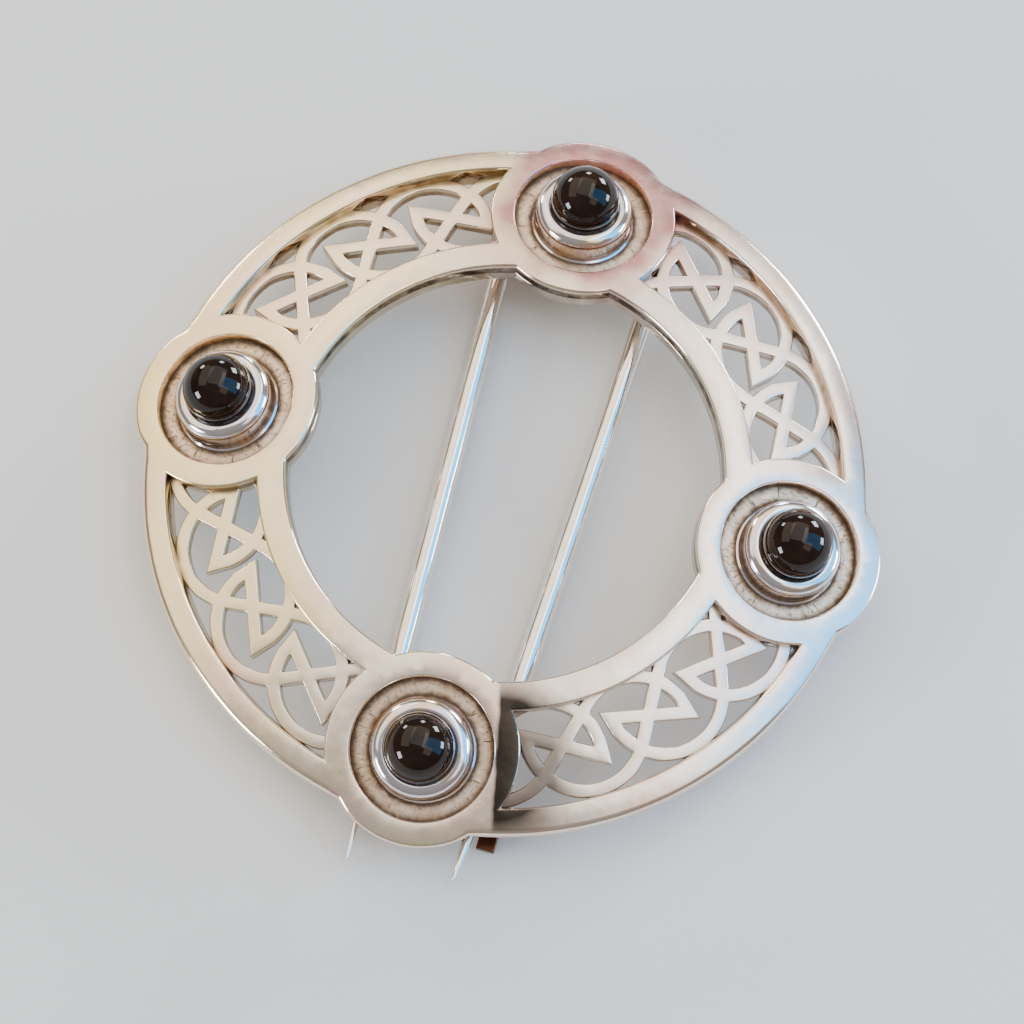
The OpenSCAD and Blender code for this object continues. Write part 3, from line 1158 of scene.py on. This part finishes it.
def silver_material(name, finish, tinting=tarnish_and_painted_light_tint, painted_wall_colours=(WALL_PAINTED_REFLECTION, HOLE_PAINTED_REFLECTION)):
    """Silver polished by hand, with painted dark reflection on its side walls and patina in its
    corners.
    """
    material, shader = new_material(name)
    place = object_place(shader)
    out = vector_maths("LENGTH", object_place(shader, FLAT))
    reach = vector_maths("DISTANCE", place, DOME_MIDDLE)
    depth = maths("SUBTRACT", DOME_R, reach)
    face = finish.face_depth

    tint = tinting(place)
    if finish.dark:
        tint = blend(north_blush(place, depth), tint, ROSE_TARNISH)
    # Painted dark reflection on the side walls, darker on the hole's walls; painted shade all over the
    # catch
    painted_wall_colour = blend(remap(out, HOLE_REFLECTION_RAMP), *painted_wall_colours)
    colour = blend(painted_wall_share(place, out, depth, finish), tint, painted_wall_colour)
    # Painted dark reflection: a dark patch beside the south setting, weaker below the face
    if finish.dark:
        on_face = remap(depth, (face + PATCH_FROM, face + PATCH_TO, finish.dark, PATCH_BELOW))
        dark = times(painted_dark_reflection(place), on_face)
        colour = blend(dark, colour, DARK_PAINTED_REFLECTION)
    dirt = dirt_share(place, finish)
    put(shader, "Base Color", blend(dirt, colour, PATINA))
    put(shader, "Metallic", remap(dirt, DIRT_METALLIC))

    hairs = cloud(object_place(shader, SCRATCH_STRETCH, SCRATCH_TURN), *HAIRLINES)
    edge = remap(depth, (face + ROUGH_FROM, face + ROUGH_TO, finish.rough, finish.edge_rough))
    rough = plus(edge, remap(hairs, HAIR_ROUGHNESS))
    put(shader, "Roughness", plus(rough, remap(dirt, DIRT_DULL)))
    swell = cloud(place, *SWELL)
    bump(shader, [(swell, SWELL_DEPTH), (hairs, HAIR_DEPTH), (dirt, -DIRT_DEPTH)])
    return material


def floor_finish():
    """Sunk floor of a setting: greyish silver with brown rims, specks, radial scratches and painted
    shade near its wall and round the collar's foot. It reads the place in the setting that
    mark_settings stores."""
    material, shader = new_material("silver_floor")
    place = object_place(shader)
    stored = new_node(shader, "Attribute")
    stored.attribute_name = "setting_place"
    split = new_node(shader, "SeparateXYZ")
    put(split, "Vector", stored.outputs["Vector"])
    radius = split.outputs["Z"]

    loose = plus(radius, clouds(place, FLOOR_WOBBLE))
    rims = highest(remap(loose, FLOOR_OUTER_RIM), remap(loose, FLOOR_INNER_RIM))
    # Painted shade in the floor's corners: near its wall and round the collar's foot
    shade = highest(remap(loose, FLOOR_NEAR_WALL), remap(loose, FLOOR_NEAR_FOOT))

    spoke = new_node(shader, "CombineXYZ")
    for axis in ("X", "Y"):
        share = maths("DIVIDE", split.outputs[axis], radius)
        put(spoke, axis, times(share, RAYS_ROUND))
    put(spoke, "Z", times(radius, RAYS_OUT))
    rays = cloud(spoke.outputs[0], *HAIRLINES)
    marks = highest(remap(rays, FLOOR_CRACKS), clouds(place, FLOOR_STAINS))
    dirt = highest(rims, marks)

    haze = clouds(place, FLOOR_HAZE)
    base = blend(haze, FLOOR_PALE, FLOOR_TAN)
    base = blend(shade, base, FLOOR_PAINTED_SHADE)
    put(shader, "Base Color", blend(dirt, base, PATINA))
    put(shader, "Metallic", remap(dirt, FLOOR_METALLIC))
    rough = plus(remap(rays, FLOOR_ROUGHNESS), remap(dirt, FLOOR_DULL))
    put(shader, "Roughness", rough)
    relief = [(haze, FLOOR_HAZE_DEPTH), (rays, FLOOR_RAY_DEPTH), (dirt, -FLOOR_DIRT_DEPTH)]
    bump(shader, relief)
    return material


def mark_settings(piece):
    """Stores for each vertex its place in the nearest setting: x, y and distance
    from the setting's axis, in millimetres."""
    inverses = [at.inverted() for at in SETTINGS]
    values = []
    for vertex in piece.data.vertices:
        spots = [inverse @ (vertex.co / MM) for inverse in inverses]
        spot = min(spots, key=lambda v: v.x * v.x + v.y * v.y)
        values += [spot.x, spot.y, hypot(spot.x, spot.y)]
    layer = piece.data.attributes.new("setting_place", "FLOAT_VECTOR", "POINT")
    layer.data.foreach_set("vector", values)


def stone_material():
    """Near-black brown stone with a deep polish and faint cloudy bands."""
    material, shader = new_material("stone")
    place = object_place(shader, STONE_STRETCH)
    colour = blend(clouds(place, STONE_BANDS), STONE_BLACK, STONE_BROWN)
    put(shader, "Base Color", colour)
    put(shader, "Roughness", clouds(place, STONE_SCUFFS))
    put(shader, "IOR", STONE_IOR)
    bump(shader, [(cloud(place, *STONE_SWELL), STONE_SWELL_DEPTH)])
    return material


def studio_floor_material():
    material, shader = new_material("studio_floor")
    place = object_place(shader)
    colour = blend(cloud(place, *STAGE_HAZE), STAGE_GREY, STAGE_PALE)
    put(shader, "Base Color", colour)
    bump(shader, [(cloud(place, *STAGE_GRAIN), STAGE_GRAIN_DEPTH)])
    put(shader, "Roughness", STAGE_ROUGH)
    return material


def join_frame():
    """The soldered silver body, as one closed mesh."""
    materials = [
        silver_material("silver_face", FACE_FINISH),
        floor_finish(),
        silver_material("silver_knot", KNOT_FINISH),
        silver_material("silver_collar", COLLAR_FINISH, collar_tint_and_painted_reflection),
        silver_material("silver_catch", CATCH_FINISH, painted_wall_colours=(CATCH_PAINTED_SHADE, CATCH_PAINTED_SHADE)),
    ]
    body = plate().build("brooch_frame", materials)
    parts = []
    for index in range(4):
        parts.append(knot(index).build("knot", materials))
        parts.append(collar(index).build("collar", materials))
    for side in (-1, 1):
        parts.append(ear(side).build("ear", materials))
        for shape in catch_leg(side):
            parts.append(shape.build("leg", materials))
    union(body, parts)
    mark_settings(body)
    soft_shading(body, CREASE_FRAME)
    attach(body, "brooch")
    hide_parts("frame")


def add_stones():
    material = stone_material()
    for index, side in enumerate(("east", "north", "west", "south")):
        piece = stone(index).build(f"cabochon_{side}", [material])
        soft_shading(piece, CREASE_ROUND)
        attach(piece, "brooch")
        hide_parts(f"stone_{side}")


def add_double_pin():
    polished = silver_material("silver_pin", PIN_FINISH, pin_tint)
    piece = double_pin([polished])
    soft_shading(piece, CREASE_ROUND)
    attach(piece, "pin")
    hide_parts("double_pin")


# Half the width of the studio floor, in metres
STAGE_REACH = 4.0


def add_stage():
    mesh = bpy.data.meshes.new("studio_floor")
    corners = [(x * STAGE_REACH, y * STAGE_REACH, 0) for x, y in ((-1, -1), (1, -1), (1, 1), (-1, 1))]
    mesh.from_pydata(corners, [], [(0, 1, 2, 3)])
    mesh.materials.append(studio_floor_material())
    floor = bpy.data.objects.new("studio_floor", mesh)
    bpy.context.scene.collection.objects.link(floor)


def aimed(name, data, place, target, roll=0.0):
    """Places a lamp or camera so that it looks at a point, with its top to the north
    before it rolls."""
    piece = bpy.data.objects.new(name, data)
    bpy.context.scene.collection.objects.link(piece)
    ahead = (Vector(target) - Vector(place)).normalized()
    side = ahead.cross(Vector((0, 1, 0))).normalized()
    up = side.cross(ahead)
    turn = Matrix((side, up, -ahead)).transposed().to_4x4()
    piece.matrix_world = Matrix.Translation(Vector(place) * MM) @ turn @ Matrix.Rotation(roll, 4, "Z")
    return piece


# Camera: place, aim, lens and sensor in millimetres, and nearest distance in metres
CAMERA_PLACE = (24.72, -83.38, 252.97)
CAMERA_AIM = (1.49, -3.02, 6.0)
CAMERA_ROLL = radians(16.74)
CAMERA_LENS = 105.5
CAMERA_SENSOR = 36
CAMERA_NEAR = 0.01


def add_camera():
    data = bpy.data.cameras.new("camera")
    data.sensor_width = CAMERA_SENSOR
    data.lens = CAMERA_LENS
    data.clip_start = CAMERA_NEAR
    camera = aimed("camera", data, CAMERA_PLACE, CAMERA_AIM, CAMERA_ROLL)
    bpy.context.scene.camera = camera


def add_lamp(name, turn, height, distance, size, brightness, colour):
    """Soft lamp seen from the brooch at a compass angle and a height, in degrees."""
    turn, height = radians(turn), radians(height)
    flat = distance * cos(height)
    place = (flat * cos(turn), flat * sin(turn), distance * sin(height))
    data = bpy.data.lights.new(name, "AREA")
    data.shape = "RECTANGLE"
    data.size, data.size_y = size[0] * MM, size[1] * MM
    data.energy = brightness * pi * data.size * data.size_y
    data.color = colour
    aimed(name, data, place, (0, 0, 0))


HORIZON = (0.31, 0.265, 0.23)
ZENITH = (0.40, 0.38, 0.37)
SKY_RAMP = (0.0, 0.9, 0, 1)
WARM_WHITE = (1.0, 0.93, 0.84)
CANDLE_WHITE = (1.0, 0.85, 0.64)
WINDOW_BLUE = (0.0, 0.44, 1.0)
PANE_WHITE = (0.88, 0.95, 1.0)

# Lamps: name, compass angle and height in degrees, distance and size in millimetres,
# brightness and colour
LAMPS = (
    ("overhead", 102, 66, 1000, (900, 1250), 1.55, WARM_WHITE),
    ("panel_west", 160, 45, 1000, (540, 1250), 1.75, CANDLE_WHITE),
    ("panel_east", 40, 67, 1000, (210, 1000), 2.6, WARM_WHITE),
    ("window_east", 12, 38, 900, (1000, 620), 2.9, WINDOW_BLUE),
    ("panel_south_east", -26, 52, 1000, (440, 420), 1.55, CANDLE_WHITE),
    ("pane_north_east", 62, 13, 850, (200, 240), 33, PANE_WHITE),
    ("pane_east", 18, 11, 850, (170, 240), 28, PANE_WHITE),
    ("pane_south_west", 222, 15, 850, (200, 260), 30, PANE_WHITE),
    ("pane_north_west", 143, 16, 850, (130, 140), 27, WARM_WHITE),
    ("pane_north", 98, 12, 850, (120, 130), 27, PANE_WHITE),
)


def add_world():
    """Soft sky, dimmer towards the horizon, so that the metal has something to show."""
    world = bpy.data.worlds.new("studio")
    bpy.context.scene.world = world
    world.use_nodes = True
    sky = next(n for n in world.node_tree.nodes if n.type == "BACKGROUND")
    split = new_node(sky, "SeparateXYZ")
    put(split, "Vector", new_node(sky, "TexCoord").outputs["Generated"])
    put(sky, "Color", blend(remap(split.outputs["Z"], SKY_RAMP), HORIZON, ZENITH))
    put(sky, "Strength", 1.0)


add_camera()
join_frame()
add_stones()
add_double_pin()
add_stage()
add_world()
for lamp in LAMPS:
    add_lamp(*lamp)
